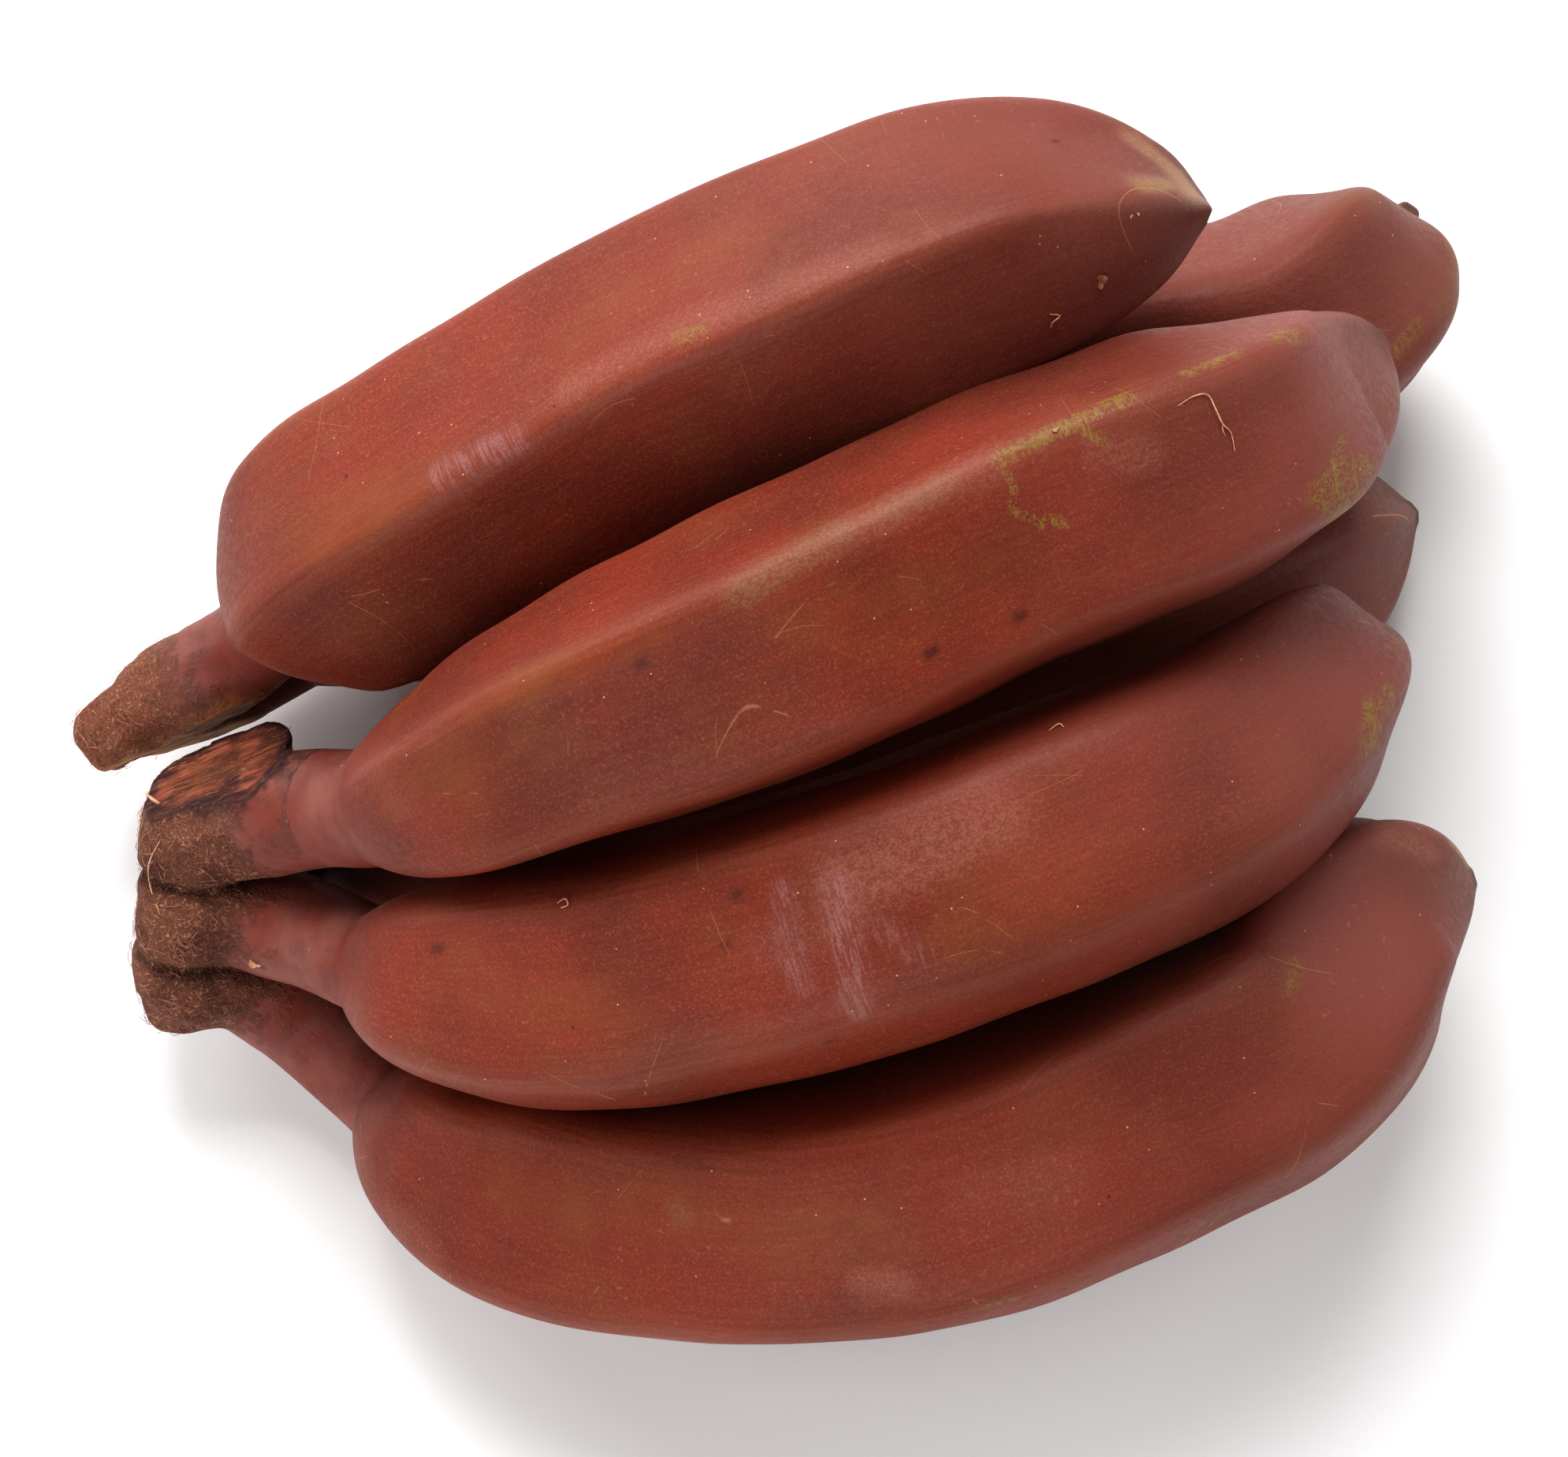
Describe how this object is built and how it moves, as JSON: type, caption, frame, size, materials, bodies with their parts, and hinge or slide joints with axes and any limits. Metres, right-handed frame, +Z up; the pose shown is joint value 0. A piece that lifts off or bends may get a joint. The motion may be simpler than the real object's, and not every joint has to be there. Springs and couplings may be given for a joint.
{
  "type": "red banana hand",
  "caption": "Hand of plump red-skinned bananas, curved and five-sided, fused by short pedicels to a scurfy brown crown that a knife has cut through.",
  "frame": {"origin": "on the floor below the centre of the bounding box, with the hand lying as it comes to rest, curved backs up", "axes": "+X from the crown to the fruit tips, +Y across the hand towards the topmost fruit of the outer row, +Z up"},
  "size_m": [0.2196, 0.1574, 0.1082],
  "materials": {
    "peel": "satin, waxy red-brown peel with fine lengthwise streaks and small scuffs",
    "crown": "matt, felted brown scurf; fibrous orange-brown and purple cut face"
  },
  "bodies": {
    "root": {"crown_main": "crown", "crown_upper": "crown", "finger_1": "peel", "finger_2": "peel", "finger_3": "peel", "finger_4": "peel", "finger_5": "peel", "finger_6": "peel"}
  },
  "joints": []
}
